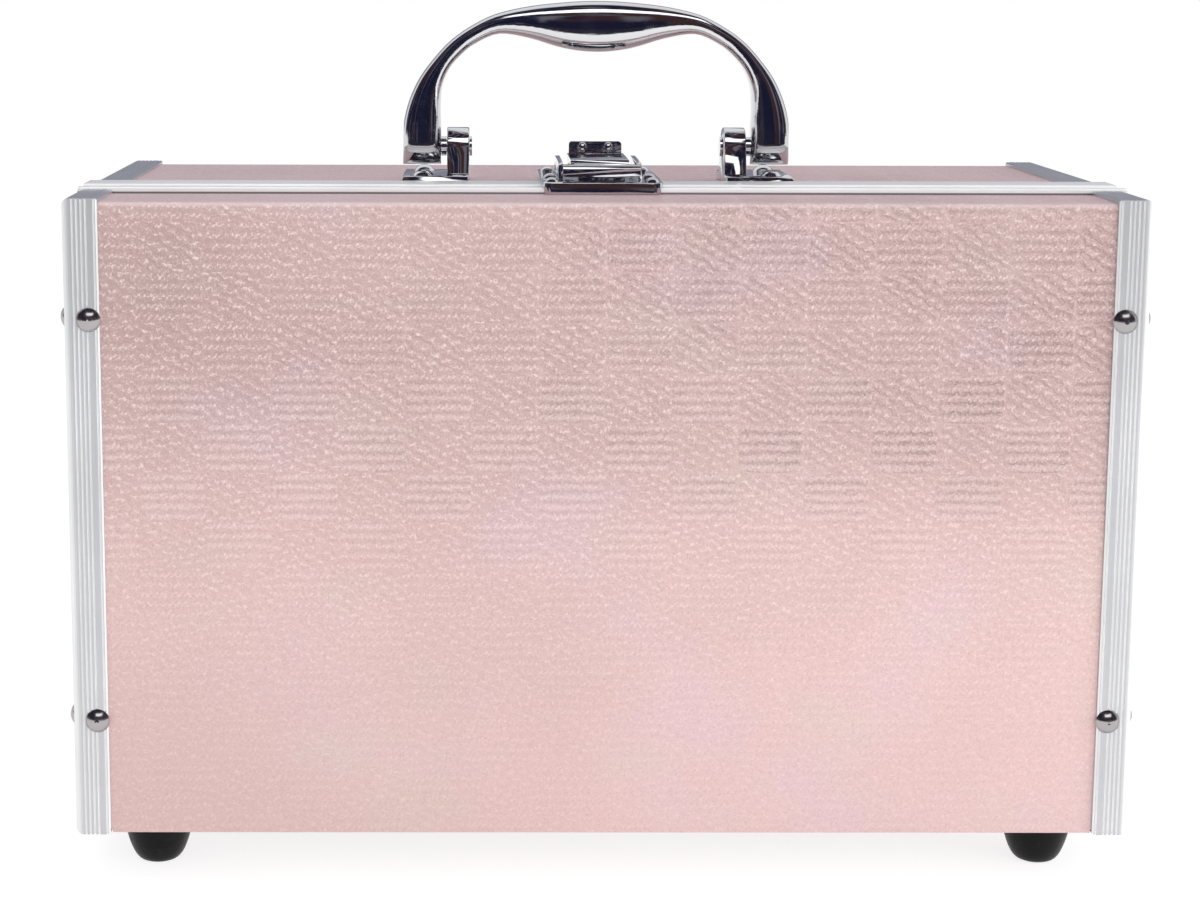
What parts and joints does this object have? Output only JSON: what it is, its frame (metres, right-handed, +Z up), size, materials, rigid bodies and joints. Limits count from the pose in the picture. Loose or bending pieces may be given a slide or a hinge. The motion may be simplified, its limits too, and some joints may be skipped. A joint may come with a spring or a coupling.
{
  "type": "makeup train case",
  "caption": "Covered carrying case with ribbed metal edging, a rear-hinged top lid, bail handle, draw latch, mirror and a tray that rises with the lid.",
  "frame": {"origin": "under the middle of the case, on the surface that its feet stand on", "axes": "+X to the right along the width, +Y to the back, where the hinges are, +Z up"},
  "size_m": [0.334, 0.1558, 0.2745],
  "materials": {
    "leatherette": "embossed pearl",
    "edging": "anodised, ribbed",
    "seam_strip": "anodised",
    "lining": "short nap",
    "rivet": "polished",
    "chrome": "polished",
    "foot": "matte",
    "steel": "zinc plated",
    "tray_plastic": "fine grain",
    "mirror": "silvered glass"
  },
  "bodies": {
    "case": {"front_board": "leatherette", "ledge_board": "leatherette", "rear_board": "leatherette", "base_board": "leatherette", "end_board_left": "leatherette", "end_board_right": "leatherette", "ledge_seam_strip": "seam_strip", "body_lining": "lining", "front_edging_left": "edging", "front_edging_right": "edging", "rear_edging_left": "edging", "rear_edging_right": "edging", "base_edging_left": "edging", "base_edging_right": "edging", "ledge_edging_left": "edging", "ledge_edging_right": "edging", "edging_rivets": "rivet", "foot_front_left": "foot", "foot_front_right": "foot", "foot_rear_left": "foot", "foot_rear_right": "foot", "foot_screws": "steel", "arm_studs": "steel", "body_hinge_leaf_left": "steel", "body_hinge_leaf_right": "steel", "hinge_pins": "steel", "strike_plate": "chrome", "strike_rivets": "rivet"},
    "lid": {"lid_board": "leatherette", "lid_rim_left": "leatherette", "lid_rim_right": "leatherette", "lid_rim_rear": "leatherette", "lid_seam_strip": "seam_strip", "lid_edging_left": "edging", "lid_edging_right": "edging", "lid_lining": "lining", "mirror_frame": "tray_plastic", "mirror": "mirror", "lid_hinge_leaf_left": "steel", "lid_hinge_leaf_right": "steel", "lid_arm_left": "steel", "lid_arm_right": "steel", "handle_base_left": "chrome", "handle_base_right": "chrome", "handle_rivets": "rivet", "latch_base": "chrome", "latch_rivets": "rivet", "lever_pin": "rivet"},
    "handle": {"handle": "chrome", "handle_pins": "rivet"},
    "lever": {"latch_lever": "chrome", "hook_pin": "rivet"},
    "hook": {"latch_hook": "chrome"},
    "tray": {"tray": "tray_plastic", "tray_pins": "steel"},
    "tray_arm_left": {"tray_arm_left": "steel"},
    "tray_arm_right": {"tray_arm_right": "steel"}
  },
  "joints": [
    {"name": "lid_hinge", "type": "hinge", "parent": "case", "child": "lid", "pos_m": [0, 0.0764, 0.20455], "axis": [-1, 0, 0], "range_deg": [0, 100]},
    {"name": "tray_swing", "type": "hinge", "parent": "lid", "child": "tray", "pos_m": [0, 0.04748, 0.17008], "axis": [-1, 0, 0], "range_deg": [-100, 0]},
    {"name": "left_arm_turn", "type": "hinge", "parent": "case", "child": "tray_arm_left", "pos_m": [0, 0.0384, 0.19655], "axis": [-1, 0, 0], "range_deg": [0, 100]},
    {"name": "right_arm_turn", "type": "hinge", "parent": "case", "child": "tray_arm_right", "pos_m": [0, 0.0384, 0.19655], "axis": [-1, 0, 0], "range_deg": [0, 100]},
    {"name": "handle_swing", "type": "hinge", "parent": "lid", "child": "handle", "pos_m": [0, 0, 0.2267], "axis": [1, 0, 0], "range_deg": [-90, 30]},
    {"name": "latch_lever_turn", "type": "hinge", "parent": "lid", "child": "lever", "pos_m": [0, -0.026, 0.2209], "axis": [1, 0, 0], "range_deg": [0, 100]},
    {"name": "latch_hook_turn", "type": "hinge", "parent": "lever", "child": "hook", "pos_m": [0, -0.021, 0.2204], "axis": [1, 0, 0], "range_deg": [-100, 0]}
  ],
  "couplings": [
    {"joint": "tray_swing", "follows": "lid_hinge", "ratio": -1},
    {"joint": "left_arm_turn", "follows": "lid_hinge", "ratio": 1},
    {"joint": "right_arm_turn", "follows": "lid_hinge", "ratio": 1},
    {"joint": "latch_hook_turn", "follows": "latch_lever_turn", "ratio": -1}
  ]
}
